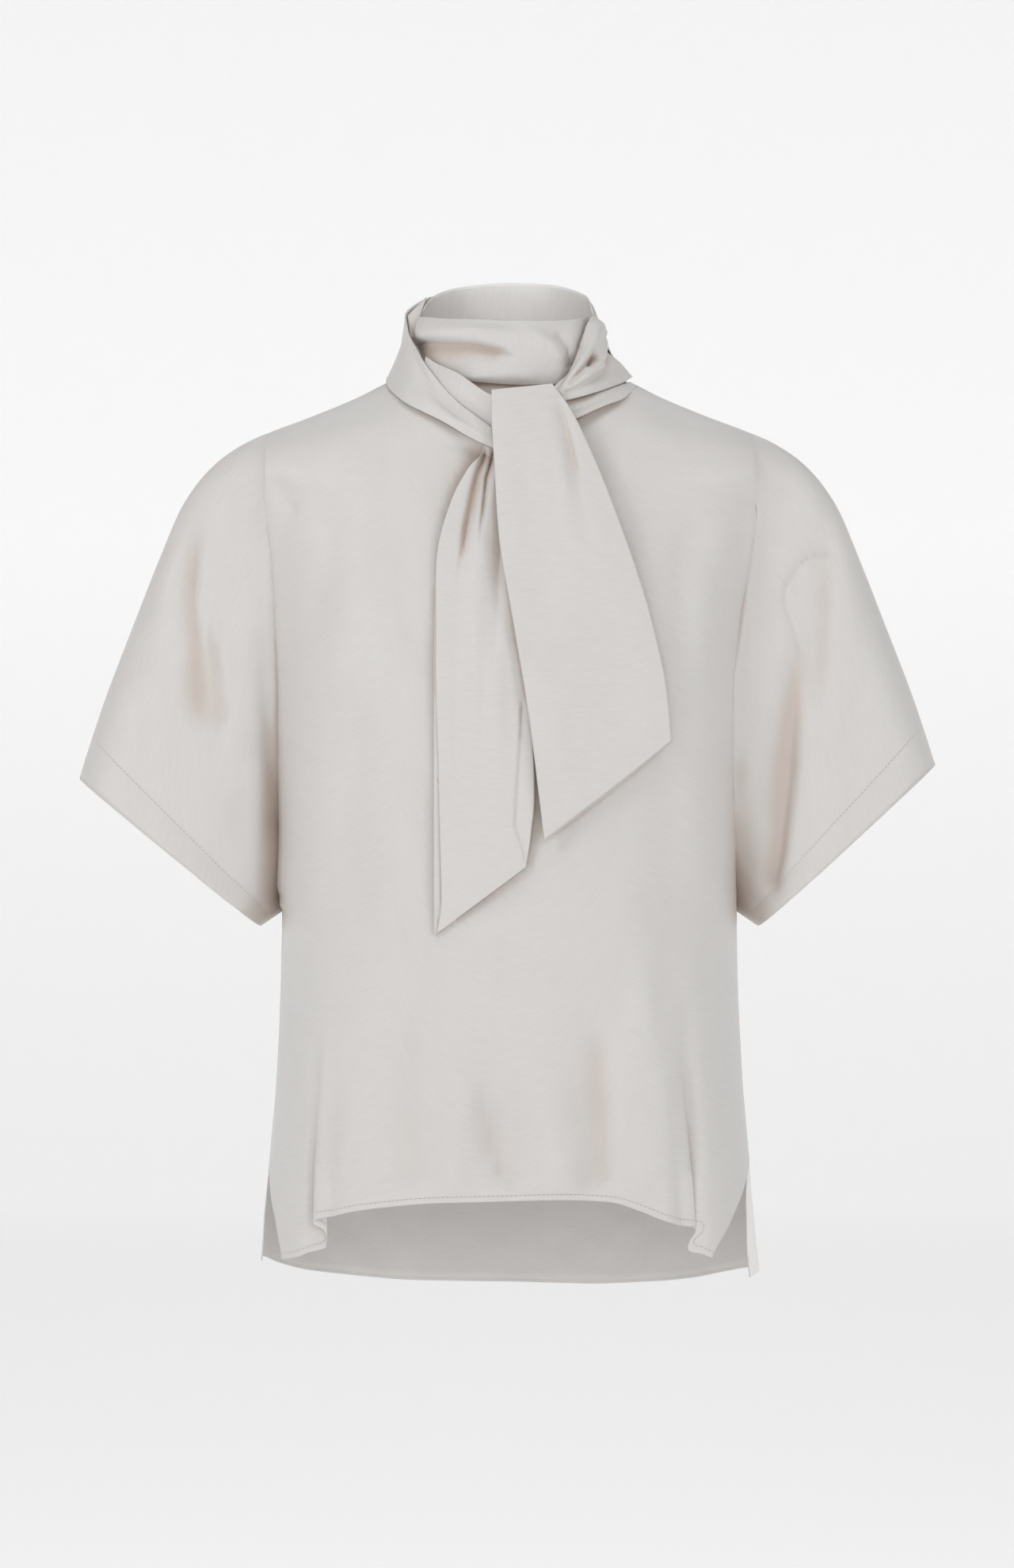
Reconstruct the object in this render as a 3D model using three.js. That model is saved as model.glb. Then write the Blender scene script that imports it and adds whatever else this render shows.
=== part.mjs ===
// Tie neck blouse: a loose satin blouse with wide short sleeves cut in one with the body,
// side slits, a hem that is longer at the back, and a long collar band that is wound once
// round the neck and tied at the front, so that two flat ends hang down.
// Millimetres. X runs to the wearer's left, -Y is the front, Z is up. The origin is in the
// middle of the neck, level with the inner ends of the shoulder seams.
import * as THREE from 'three';

// The cloth, and the seams where two pieces meet.
const clothThickness = 1.3;
const hemThickness = 2.2;
const seamGap = 0.3;
const collarGap = 0.4;
const collarInset = 2.0;

// Driving sizes of the blouse.
const neckHalfWidth = 89;
const armTopX = 178;
const underarm = new THREE.Vector3(168, 26, -386);
const cuffTopLeft = new THREE.Vector3(317.5, 12, -289);
const cuffTopRight = new THREE.Vector3(314.5, 12, -278);
const cuffBottom = new THREE.Vector3(184, 2, -397);
const cuffHemWidth = 17.5;
const hemWidth = 4;
const sleeveFrontDepth = 50;
const sleeveBackDepth = 45;
const sleeveRoundness = 2.6;

// How finely the pieces are divided.
const bodyColumns = 13;
const sleeveRibs = 8;
const upperRows = 11;
const slitRow = 6;
const lowerRows = 10;
const ribbonLength = 16;
const ribbonWidth = 4;

// Body sections at heights z: half width, depths in front of and behind the middle plane,
// y of the side line, and how square the section is.
const bodySections = table('z half front back side power',
  [12, 86, 60, 66, 0, 2.0],
  [4, 89, 62, 68, 0, 2.0],
  [-8, 113, 66, 73, 1, 2.0],
  [-22, 147, 71, 79, 2, 2.1],
  [-36, 183, 77, 84, 3, 2.2],
  [-50, 207, 82, 88, 4, 2.2],
  [-64, 216, 86, 91, 5, 2.2],
  [-85, 198, 92, 94, 4, 2.2],
  [-120, 181, 100, 97, 0, 2.3],
  [-170, 172, 110, 99, -6, 2.4],
  [-228, 169, 118, 99, 0, 2.4],
  [-300, 168.5, 121, 97, 12, 2.4],
  [-386, 168, 120, 95, 26, 2.4],
  [-430, 168.5, 118, 95, 18, 2.4],
  [-500, 171, 117, 97, 8, 2.4],
  [-565, 176, 117, 100, -4, 2.4],
  [-620, 180.5, 118, 103, -10, 2.4],
  [-675, 185.5, 119, 105, -12, 2.4]);

// The shoulder and overarm seam from the neck to the cuff.
const overarm = table('x z',
  [89, 4], [113, -8], [147, -22], [183, -36], [208, -50], [224, -64],
  [241, -87], [257, -123], [278, -176], [298, -228], [314.5, -278], [318, -290]);

// The fold between body and sleeve, from the shoulder seam to the underarm.
const armholeFold = table('z left right',
  [-33, 178, 178], [-88, 176, 180], [-123, 173, 176], [-175, 170, 168],
  [-228, 168.5, 162], [-270, 168.5, 163], [-386, 168, 168]);

const frontNeckline = table('x z',
  [0, -46], [12, -44], [30, -38], [46, -30], [66, -15], [80, -4], [89, 4]);
const backNeckline = table('x z',
  [0, -6], [30, -5], [60, -2], [80, 1], [89, 4]);

const frontHem = table('x z',
  [-170, -639], [-155, -636], [-142, -629], [-135, -614], [-128, -605], [-93, -598],
  [-47, -594], [0, -593], [34, -592], [73, -594], [90, -599], [107, -606],
  [127, -614], [134, -629], [150, -637]);
const backHem = table('x z',
  [-184, -640], [-172, -649], [-150, -657], [-127, -661], [-80, -666], [0, -669],
  [52, -669.5], [111, -667], [135, -664], [158, -658], [183, -650]);

// Angles of the panel edges at the side slits, measured round the section from centre front.
const slitEdges = table('z frontLeft backLeft frontRight backRight',
  [-555, 90, 90, 90, 90],
  [-566, 88, 88, 86, 86],
  [-586, 79, 86, 73, 76],
  [-612, 69, 84, 60, 73],
  [-640, 63, 83, 50, 71],
  [-672, 62, 83, 49, 71]);
const slitTop = -566;

// The deepest folds. Each runs from (x1, z1) to (x2, z2) on the front or back face, and
// pushes the cloth by push mm, inwards where push is below zero, fading over its width.
const folds = table('face x1 z1 x2 z2 width push',
  [-1, -125, -70, -141, -180, 16, -4],
  [-1, -130, -500, -139, -640, 9, -6],
  [-1, -150, -520, -152, -640, 8, 3],
  [-1, 126, -430, 134, -640, 8, -6],
  [-1, 112, -470, 116, -620, 10, 4],
  [-1, -24, -470, 6, -600, 20, -4],
  [-1, 56, -500, 62, -600, 18, -4],
  [-1, 160, -170, 152, -290, 10, 3],
  [1, -108, -120, -92, -300, 22, -5],
  [1, 104, -130, 90, -320, 22, -5],
  [1, -66, -430, -74, -665, 24, -6],
  [1, 60, -410, 70, -665, 24, -6],
  [1, 0, -450, 0, -668, 26, 5],
  [1, 128, -480, 136, -660, 16, 4],
  [1, -130, -470, -138, -655, 16, 4]);

const satin = { color: 0xd8d5d0, roughness: 0.42, metalness: 0.0 };
const satinShade = { color: 0xcfcac5, roughness: 0.45, metalness: 0.0 };

function table(names, ...rows) {
  const keys = names.split(' ');
  return rows.map((row) => Object.fromEntries(keys.map((key, k) => [key, row[k]])));
}

// Reads a smooth value between the rows of a table, without overshooting them.
function along(rows, by, at, key) {
  const last = rows.length - 1;
  const up = rows[last][by] > rows[0][by] ? 1 : -1;
  if ((at - rows[0][by]) * up <= 0) return rows[0][key];
  if ((at - rows[last][by]) * up >= 0) return rows[last][key];
  let i = 0;
  while ((at - rows[i + 1][by]) * up > 0) i += 1;
  const slope = (k) => (rows[k + 1][key] - rows[k][key]) / (rows[k + 1][by] - rows[k][by]);
  const tangent = (before, after) => (before * after <= 0
    ? 0 : (2 * before * after) / (before + after));
  const here = slope(i);
  const start = i === 0 ? here : tangent(slope(i - 1), here);
  const end = i === last - 1 ? here : tangent(here, slope(i + 1));
  const span = rows[i + 1][by] - rows[i][by];
  const t = (at - rows[i][by]) / span;
  return (1 + 2 * t) * (1 - t) ** 2 * rows[i][key] + t * (1 - t) ** 2 * span * start
    + t * t * (3 - 2 * t) * rows[i + 1][key] + t * t * (t - 1) * span * end;
}

const mix = (a, b, t) => a + (b - a) * t;
const degrees = (angle) => (angle * Math.PI) / 180;
const ease = (t) => {
  const s = Math.min(Math.max(t, 0), 1);
  return s * s * (3 - 2 * s);
};

// How far the folds push the cloth outwards at a point of the front or back face.
function foldPush(face, x, z) {
  let push = 0;
  for (const fold of folds) {
    if (fold.face !== face) continue;
    const t = (z - fold.z1) / (fold.z2 - fold.z1);
    const away = (x - mix(fold.x1, fold.x2, t)) / fold.width;
    const fade = ease(t * 2.5) * ease((1.15 - t) * 6);
    push += fold.push * fade * Math.exp(-away * away);
  }
  return push;
}

// y of the body's cloth at x and z, for the front (face -1) or the back (face 1).
function bodyY(face, x, z) {
  const half = along(bodySections, 'z', z, 'half');
  const side = along(bodySections, 'z', z, 'side');
  const power = along(bodySections, 'z', z, 'power');
  const depth = along(bodySections, 'z', z, face < 0 ? 'front' : 'back');
  const share = Math.min(Math.abs(x) / half, 1);
  const round = (1 - share ** power) ** (1 / power);
  return mix(side, face * (depth + foldPush(face, x, z)), round);
}

// A point of the body's section at height z, at an angle round it from centre front.
function sectionPoint(angle, sign, z) {
  const half = along(bodySections, 'z', z, 'half');
  const side = along(bodySections, 'z', z, 'side');
  const power = along(bodySections, 'z', z, 'power');
  const face = angle <= 90 ? -1 : 1;
  const across = Math.sin(degrees(angle)) ** (2 / power);
  const deep = Math.abs(Math.cos(degrees(angle))) ** (2 / power);
  const depth = along(bodySections, 'z', z, face < 0 ? 'front' : 'back');
  const x = sign * half * across;
  const y = mix(side, face * (depth + foldPush(face, x, z)), deep);
  return new THREE.Vector3(x, y, z);
}

// A point of the neck seam on the collar's side, just inside the edge of the body panel.
function neckSeam(face, x) {
  const rows = face < 0 ? frontNeckline : backNeckline;
  const z = along(rows, 'x', Math.abs(x), 'z');
  const y = Math.abs(x) >= neckHalfWidth ? 0 : bodyY(face, x, z);
  const inwards = new THREE.Vector3(-x, -y, 0).setLength(collarInset);
  return new THREE.Vector3(x, y, z + collarGap).add(inwards);
}

// Rows lie closer together towards the shoulder, where the cloth turns over.
const rowShare = (row) => (row / upperRows) ** 1.5;

// The part of a panel between the shoulder seam and the level of the underarm.
function yokePoint(face, column, row) {
  const sign = Math.sign(column) || 1;
  const across = Math.sin(degrees((90 * Math.abs(column)) / bodyColumns)) ** (2 / 2.4);
  const topX = across * armTopX;
  const topZ = topX < neckHalfWidth
    ? along(face < 0 ? frontNeckline : backNeckline, 'x', topX, 'z')
    : along(overarm, 'x', topX, 'z');
  const z = mix(topZ, underarm.z, rowShare(row));
  const foldX = along(armholeFold, 'z', z, sign < 0 ? 'left' : 'right');
  const x = mix(topX, across * foldX, ease(rowShare(row) * 3));
  if (row === 0 && topX >= neckHalfWidth) {
    return new THREE.Vector3(sign * topX, along(bodySections, 'z', topZ, 'side'), topZ);
  }
  return new THREE.Vector3(sign * x, bodyY(face, sign * x, z), z);
}

// The sleeve: ribs that run from the overarm seam round to the underarm seam. The last rib
// is the cuff, and the one before it is the stitched edge of the cuff's hem.
function sleevePoint(face, column, row) {
  const sign = Math.sign(column);
  const rib = Math.abs(column) - bodyColumns;
  const side = sign < 0 ? 'left' : 'right';
  const cuffTop = sign < 0 ? cuffTopLeft : cuffTopRight;
  const overarmLength = Math.hypot(cuffTop.x - armTopX, cuffTop.z + 33);
  const underarmLength = cuffBottom.distanceTo(underarm);
  const ribShare = rib / (sleeveRibs - 1);
  const last = rib === sleeveRibs;
  const top = last ? 1 : ribShare * (1 - cuffHemWidth / overarmLength);
  const bottom = last ? 1 : ribShare * (1 - cuffHemWidth / underarmLength);
  const w = rowShare(row);
  const seamX = mix(armTopX, cuffTop.x, top ** 1.18 * 0.72 + top * 0.28);
  const seam = new THREE.Vector3(seamX, mix(3, cuffTop.y, top), along(overarm, 'x', seamX, 'z'));
  const under = underarm.clone().lerp(cuffBottom, bottom);
  const point = seam.clone().lerp(under, w);
  const straightX = mix(armTopX, underarm.x, w);
  const foldX = along(armholeFold, 'z', mix(-33, underarm.z, w), side);
  point.x += (foldX - straightX) * (1 - top);
  const depth = face < 0 ? sleeveFrontDepth : sleeveBackDepth;
  const round = (1 - Math.abs(2 * w - 1) ** sleeveRoundness) ** (1 / sleeveRoundness);
  const tubeY = point.y + face * depth * round;
  const valleyY = row === 0 || row === upperRows ? point.y : bodyY(face, foldX, point.z);
  const open = Math.sin(degrees(90 * Math.min(top * 1.15, 1))) ** 0.6;
  point.y = mix(valleyY, tubeY, open);
  point.x *= sign;
  return point;
}

// The part of a panel below the underarm, with the side slits and the hem.
function skirtPoint(face, column, row) {
  const sign = Math.sign(column) || 1;
  const key = (face < 0 ? 'front' : 'back') + (sign < 0 ? 'Left' : 'Right');
  const hemTable = face < 0 ? frontHem : backHem;
  const share = Math.abs(column) / bodyColumns;
  const angleAt = (z) => {
    const edge = along(slitEdges, 'z', z, key);
    return face < 0 ? share * edge : 180 - share * (180 - edge);
  };
  const place = (z) => {
    const angle = angleAt(z);
    return sectionPoint(angle, sign, z);
  };
  let hemZ = face < 0 ? -600 : -660;
  for (let pass = 0; pass < 4; pass += 1) hemZ = along(hemTable, 'x', place(hemZ).x, 'z');
  const belowSlit = (row - slitRow) / (lowerRows - 1 - slitRow);
  if (row === lowerRows) return place(hemZ);
  if (row > slitRow) return place(mix(slitTop, hemZ + hemWidth, belowSlit));
  return place(mix(underarm.z, slitTop, row / slitRow));
}

// A body panel, front or back, with both half sleeves: a grid of rows and columns that is
// wide down to the underarm and narrow below it.
function panel(name, face) {
  const widest = bodyColumns + sleeveRibs;
  const grid = [];
  for (let row = 0; row <= upperRows + lowerRows; row += 1) {
    const cells = [];
    for (let column = -widest; column <= widest; column += 1) {
      const inBody = Math.abs(column) <= bodyColumns;
      let point = null;
      let seam = false;
      if (row <= upperRows) {
        point = inBody ? yokePoint(face, column, row) : sleevePoint(face, column, row);
        seam = (row === 0 && Math.abs(point.x) >= neckHalfWidth)
          || (row === upperRows && Math.abs(column) >= bodyColumns);
      } else if (inBody) {
        point = skirtPoint(face, column, row - upperRows);
        seam = Math.abs(column) === bodyColumns && row <= upperRows + slitRow;
      }
      if (!point) {
        cells.push(null);
        continue;
      }
      const crossing = row === upperRows && Math.abs(column) === bodyColumns;
      const hem = row >= upperRows + lowerRows - 1 || Math.abs(column) >= widest - 1;
      const thickness = hem ? hemThickness : clothThickness;
      cells.push({
        point,
        seam: seam ? face : 0,
        gap: crossing ? 3 * seamGap : seamGap,
        thickness: crossing ? thickness / 2 : thickness,
      });
    }
    grid.push(cells);
  }
  return wall(name, grid, satin);
}

// Closes a grid of cells into a thin wall: each point is moved half the thickness along the
// surface normal to either side, and the borders are joined. On a seam, where the cell names
// the side that its piece lies on, the normal is square to the seam and to the y axis, and
// the edge keeps half the gap, so that the two pieces meet flush.
function wall(name, grid, finish) {
  const rows = grid.length;
  const columns = grid[0].length;
  const cells = [];
  const index = grid.map((line) => line.map((cell) => {
    if (!cell) return -1;
    const point = cell.point.clone();
    cells.push({ ...cell, point, normal: new THREE.Vector3(), run: new THREE.Vector3() });
    return cells.length - 1;
  }));
  const quads = [];
  for (let r = 0; r < rows - 1; r += 1) {
    for (let c = 0; c < columns - 1; c += 1) {
      const corners = [index[r][c], index[r][c + 1], index[r + 1][c + 1], index[r + 1][c]];
      if (corners.every((k) => k >= 0)) quads.push(corners);
    }
  }
  const triangles = [];
  const sides = new Map();
  for (const [a, b, c, d] of quads) {
    const point = (k) => cells[k].point;
    const short = point(a).distanceTo(point(c)) <= point(b).distanceTo(point(d));
    triangles.push(...(short ? [[a, b, c], [a, c, d]] : [[a, b, d], [b, c, d]]));
    for (const [from, to] of [[a, b], [b, c], [c, d], [d, a]]) {
      if (!sides.delete(`${to} ${from}`)) sides.set(`${from} ${to}`, [from, to]);
    }
  }
  for (const corners of triangles) {
    const [a, b, c] = corners.map((k) => cells[k].point);
    const normal = b.clone().sub(a).cross(c.clone().sub(a));
    for (const k of corners) cells[k].normal.add(normal);
  }
  for (const [from, to] of sides.values()) {
    if (!cells[from].seam || !cells[to].seam) continue;
    const edge = cells[to].point.clone().sub(cells[from].point).normalize();
    cells[from].run.add(edge);
    cells[to].run.add(edge);
  }
  for (const cell of cells.filter(({ seam }) => seam)) {
    cell.normal.crossVectors(cell.run, new THREE.Vector3(0, cell.seam, 0));
    cell.shift = cell.normal.clone().cross(cell.run).setLength(cell.gap / 2);
  }
  const positions = [];
  for (const sign of [0.5, -0.5]) {
    for (const { point, normal, shift, thickness } of cells) {
      normal.normalize();
      if (shift && sign > 0) point.add(shift);
      positions.push(...point.clone().addScaledVector(normal, sign * thickness).toArray());
    }
  }
  const count = cells.length;
  const faces = [];
  for (const [a, b, c] of triangles) faces.push([a, b, c], [c + count, b + count, a + count]);
  for (const [from, to] of sides.values()) {
    faces.push([to, from, from + count], [to, from + count, to + count]);
  }
  return solid(name, positions, faces, finish);
}

// A closed body from its points and triangles, turned so that its faces point outwards.
function solid(name, positions, faces, finish) {
  const corner = (k) => new THREE.Vector3().fromArray(positions, 3 * k);
  let volume = 0;
  for (const [a, b, c] of faces) volume += corner(a).dot(corner(b).cross(corner(c)));
  const outward = volume < 0 ? faces.map(([a, b, c]) => [a, c, b]) : faces;
  const geometry = new THREE.BufferGeometry();
  geometry.setAttribute('position', new THREE.Float32BufferAttribute(positions, 3));
  geometry.setIndex(outward.flat());
  geometry.computeVertexNormals();
  const mesh = new THREE.Mesh(geometry, new THREE.MeshStandardMaterial(finish));
  mesh.name = name;
  return mesh;
}

// A band of cloth through cross lines. Each row gives the two ends of a line, (ax, ay, az)
// and (bx, by, bz), and how far the cloth arches out between them.
function ribbon(name, rows, finish, length = ribbonLength, width = ribbonWidth) {
  const lines = rows.map((row, at) => ({ ...row, at }));
  const read = (at, key) => along(lines, 'at', at, key);
  const grid = [];
  for (let i = 0; i <= length; i += 1) {
    const at = (i / length) * (lines.length - 1);
    const a = new THREE.Vector3(read(at, 'ax'), read(at, 'ay'), read(at, 'az'));
    const b = new THREE.Vector3(read(at, 'bx'), read(at, 'by'), read(at, 'bz'));
    const cells = [];
    for (let j = 0; j <= width; j += 1) {
      const v = j / width;
      const point = a.clone().lerp(b, v);
      const outward = new THREE.Vector3(point.x * 0.9, Math.min(point.y, 0) || point.y, 0);
      point.addScaledVector(outward.normalize(), read(at, 'arch') * 4 * v * (1 - v));
      cells.push({ point, seam: 0, thickness: clothThickness });
    }
    grid.push(cells);
  }
  return wall(name, grid, finish);
}

const bandNames = 'ax ay az bx by bz arch';

// The collar band behind the neck, from its rim down to the neck seam.
function collarBackBand() {
  const rim = table('x y z seamX arch',
    [-62, -2, 60, -88, 0], [-59, 12, 66, -88.5, -2], [-49, 34, 74, -80, -4],
    [-27, 53, 80, -46, -4], [0, 60, 82.5, 0, -3], [27, 53, 81, 46, -4],
    [47, 34, 75, 80, -4], [56, 11, 65, 88.5, -2], [59, -7, 55, 87, 0]);
  const rows = rim.map(({ x, y, z, seamX, arch }, k) => {
    const ends = k === 0 || k === rim.length - 1;
    const seam = neckSeam(ends ? -1 : 1, seamX);
    return { ax: x, ay: y, az: z, bx: seam.x, by: seam.y, bz: seam.z, arch };
  });
  return ribbon('collar_back_band', rows, satin, 20);
}

// The short stand that rises from the front neckline inside the wound collar.
function collarStandFront() {
  const top = table('x y z seamX',
    [-54, -31, 8, -68], [-41, -43, 6, -52], [-22, -52, 4, -28],
    [0, -55, 3, 0], [22, -52, 4, 28], [41, -43, 6, 52], [54, -31, 8, 68]);
  const rows = top.map(({ x, y, z, seamX }) => {
    const seam = neckSeam(-1, seamX);
    return { ax: x, ay: y, az: z, bx: seam.x, by: seam.y, bz: seam.z, arch: -1 };
  });
  return ribbon('collar_stand_front', rows, satinShade, 12, 3);
}

// The smooth turn of the collar across the front of the neck.
const wrapFront = table(bandNames,
  [-74, -5, 52, -75, -9, 28, 0],
  [-67, -25, 50, -65, -35, 14, 3.5],
  [-47, -41, 47, -45, -52, 5, 6],
  [-20, -50, 46.5, -20, -60, 0.5, 6],
  [12, -51, 46, 12, -62, -1.5, 6],
  [35, -44, 46.5, 34, -58, -1, 5],
  [53, -29, 49, 50, -43, 10, 3],
  [60, -13, 53, 60, -24, 28, 1]);

// The outer turn of the collar. It leaves the knot on the wearer's right, passes round the
// back of the neck, and comes forward again in pleats that gather at the knot.
const outerTurn = table(bandNames,
  [-8, -88, -38, -10, -90, -50, 1],
  [-25, -79, -25, -27, -86, -42, 2],
  [-45, -66, -7, -49, -77, -29, 2],
  [-65, -47, 20, -78, -57, -13, 1],
  [-74, -27, 38, -89, -30, -1, -1],
  [-77.5, -4, 54.5, -90.5, -4, 6, -3],
  [-64, 14, 66, -90, 15, 8, -2],
  [-54, 38, 71, -80, 44, 5, -2],
  [-30, 61, 74, -46, 71, 1, -2],
  [0, 67, 75, 0, 79, -1, -2],
  [30, 61, 74, 46, 71, 1, -2],
  [54, 38, 70, 80, 44, 6, -2],
  [62, 14, 63, 90, 15, 9, -2],
  [66.5, -3, 54, 90.5, -4, 8, -2],
  [61, -24, 51, 85, -29, 3, 1],
  [54, -48, 34, 71, -55, -4, 4],
  [44, -65, 12, 52, -73, -11, 3],
  [30, -76, -8, 31, -79, -16, 1]);

// The inner turn on the wearer's right, tucked under the outer one.
const foldLeftInner = table(bandNames,
  [-61, -45, 20, -64, -52, 0, 0],
  [-54, -51, 15, -56, -58, -8, 1],
  [-38, -64, 7, -39, -68, -18, 1],
  [-15, -77, -9, -17, -79, -34, 1],
  [-3, -85, -13, -6, -84, -40, 1]);

// The lowest turn on the wearer's left, just above the neck seam.
const bandRightLower = table(bandNames,
  [26, -76, -18, 30, -85, -33, 0],
  [42, -72, -14, 46, -82, -28, 0],
  [60, -63, -9, 65, -71, -19, 0],
  [77, -45.5, -2.5, 84.5, -51, -10, 0],
  [88, -18, 3, 93, -20, 0, 0]);

// The upper end of the tie: it covers the knot and falls across to the wearer's left.
const tieFront = table(bandNames,
  [-13, -84, -7, 31, -80, -2, 1],
  [-13, -91, -24, 43, -88, -19, 3],
  [-11, -102, -60, 60, -97, -54, 4],
  [-8, -114, -110, 82, -104, -110, 4],
  [3, -124, -178, 101, -108, -168, 3],
  [14, -129, -245, 113, -110, -222, 3],
  [25, -130, -333, 117, -110, -261, 2]);

// The lower end of the tie, which comes out under the knot and hangs straight down.
const tieBack = table(bandNames,
  [-20, -84.5, -52, -4, -85, -52, 0],
  [-31, -89, -66, 2, -91, -64, 1],
  [-43, -94, -90, 6, -97, -90, 1],
  [-53, -104, -138, 10, -108, -136, 1],
  [-54, -117, -213, 14, -120.5, -206, 1],
  [-53, -120.5, -298, 13, -124, -284, 1],
  [-54, -120.5, -401, 12.5, -123, -352, 1]);

const blouse = new THREE.Group();
blouse.add(panel('front_panel', -1));
blouse.add(panel('back_panel', 1));
blouse.add(collarBackBand());
blouse.add(collarStandFront());
blouse.add(ribbon('collar_wrap_front', wrapFront, satin));
blouse.add(ribbon('collar_turn_outer', outerTurn, satin, 48));
blouse.add(ribbon('collar_fold_left_inner', foldLeftInner, satinShade, 10));
blouse.add(ribbon('collar_band_right_lower', bandRightLower, satin, 10, 2));
blouse.add(ribbon('tie_front', tieFront, satin, 18));
blouse.add(ribbon('tie_back', tieBack, satin, 18));

export default blouse;
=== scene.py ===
import math
import bpy
import numpy as np
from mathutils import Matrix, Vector
from mathutils.bvhtree import BVHTree


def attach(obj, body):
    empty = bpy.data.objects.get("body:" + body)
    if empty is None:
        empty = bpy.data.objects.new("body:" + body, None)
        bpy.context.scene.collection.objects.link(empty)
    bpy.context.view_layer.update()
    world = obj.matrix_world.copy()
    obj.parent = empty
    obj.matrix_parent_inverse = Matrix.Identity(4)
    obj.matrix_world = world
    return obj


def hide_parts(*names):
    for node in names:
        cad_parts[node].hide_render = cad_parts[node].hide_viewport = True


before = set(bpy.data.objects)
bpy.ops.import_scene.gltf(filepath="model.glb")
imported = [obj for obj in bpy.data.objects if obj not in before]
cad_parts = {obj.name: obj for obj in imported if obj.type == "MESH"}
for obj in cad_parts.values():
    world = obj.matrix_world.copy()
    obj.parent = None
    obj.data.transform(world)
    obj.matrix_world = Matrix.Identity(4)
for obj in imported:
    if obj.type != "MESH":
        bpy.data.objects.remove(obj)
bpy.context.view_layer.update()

# Tie neck blouse in satin. Sizes are in millimetres until a mesh is made, X to the
# wearer's left, -Y to the front, Z up.
print("frame loaded")

cloth = {
    "wall": 1.0,
    "hemPuff": 0.55,
    "seamGap": 0.15,
}

# how each crease runs out at its ends, and how its width wanders along it
creaseShape = {"endFade": 0.3, "depthAtEnd": 0.12, "wander": 0.25, "turns": 6.3, "nextStart": 1.7}

# shared helpers


def smoothRead(xs, ys, at):
    xs, ys = np.asarray(xs, float), np.asarray(ys, float)
    if xs[0] > xs[-1]:
        xs, ys = xs[::-1], ys[::-1]
    at = np.clip(at, xs[0], xs[-1])
    slope = np.diff(ys) / np.diff(xs)
    tangent = np.zeros(len(xs))
    sameWay = slope[1:] * slope[:-1] > 0
    total = np.where(sameWay, slope[1:] + slope[:-1], 1.0)
    tangent[1:-1] = np.where(sameWay, 2 * slope[1:] * slope[:-1] / total, 0.0)
    tangent[0], tangent[-1] = slope[0], slope[-1]
    k = np.clip(np.searchsorted(xs, at, side="right") - 1, 0, len(xs) - 2)
    span = xs[k + 1] - xs[k]
    t = (at - xs[k]) / span
    return (
        (1 + 2 * t) * (1 - t) ** 2 * ys[k]
        + t * (1 - t) ** 2 * span * tangent[k]
        + t * t * (3 - 2 * t) * ys[k + 1]
        + t * t * (t - 1) * span * tangent[k + 1]
    )


def readColumn(rows, column, at):
    data = np.array(rows, float)
    return smoothRead(data[:, 0], data[:, column], at)


def ease(t):
    s = np.clip(t, 0, 1)
    return s * s * (3 - 2 * s)


def softNoise(x, z, size, seed):
    # smooth value noise on a square lattice, the same on every run
    rng = np.random.default_rng(seed)
    cells, shiftU, shiftW = 64, 31.3, 29.7
    lattice = rng.uniform(-1, 1, (cells, cells))
    u, w = np.asarray(x) / size + shiftU, np.asarray(z) / size + shiftW
    i, j = np.floor(u).astype(int), np.floor(w).astype(int)
    fu, fw = ease(u - i), ease(w - j)
    corner = lambda a, b: lattice[(i + a) % cells, (j + b) % cells]
    low = corner(0, 0) * (1 - fu) + corner(1, 0) * fu
    high = corner(0, 1) * (1 - fu) + corner(1, 1) * fu
    return low * (1 - fw) + high * fw


def creasePush(creases, x, z):
    # each crease is a line through (x, z) points, with its width, push and sharpness,
    # and the shares of its length over which its ends fade, where they aren't the usual.
    # A pair of widths makes a folded edge: left and right, looking along the line
    usual, atEnd = creaseShape["endFade"], creaseShape["depthAtEnd"]
    push = np.zeros(np.shape(x))
    for n, (line, width, depth, power, *ends) in enumerate(creases):
        startFade, endFade = ends or (usual, usual)
        points = np.array(line, float)
        lengths = np.hypot(*np.diff(points, axis=0).T)
        total = lengths.sum()
        best = np.full(np.shape(x), 1e9)
        where = np.zeros(np.shape(x))
        side = np.zeros(np.shape(x))
        run = 0.0
        for (x1, z1), (x2, z2), length in zip(points[:-1], points[1:], lengths):
            t = ((x - x1) * (x2 - x1) + (z - z1) * (z2 - z1)) / length**2
            t = np.clip(t, 0, 1)
            gap = np.hypot(x - x1 - t * (x2 - x1), z - z1 - t * (z2 - z1))
            nearer = gap < best
            best = np.where(nearer, gap, best)
            where = np.where(nearer, (run + t * length) / total, where)
            side = np.where(nearer, (x2 - x1) * (z - z1) - (z2 - z1) * (x - x1), side)
            run += length
        fade = ease(where / startFade + atEnd) * ease((1 - where) / endFade + atEnd)
        phase = creaseShape["turns"] * where + creaseShape["nextStart"] * n
        wander = 1 + creaseShape["wander"] * np.sin(phase)
        left, right = width if isinstance(width, tuple) else (width, width)
        reach = np.where(side > 0, left, right) * wander
        push += depth * fade * np.exp(-((best / reach) ** power))
    return push


def surfaceNormals(points):
    alongRows = np.gradient(points, axis=0)
    acrossRows = np.gradient(points, axis=1)
    normals = np.cross(acrossRows, alongRows)
    length = np.linalg.norm(normals, axis=2, keepdims=True)
    return normals / np.maximum(length, 1e-9)


def arcLength(points, axis):
    steps = np.linalg.norm(np.diff(points, axis=axis), axis=2)
    pad = [(0, 0), (0, 0)]
    pad[axis] = (1, 0)
    return np.pad(np.cumsum(steps, axis=axis), pad)


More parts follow.
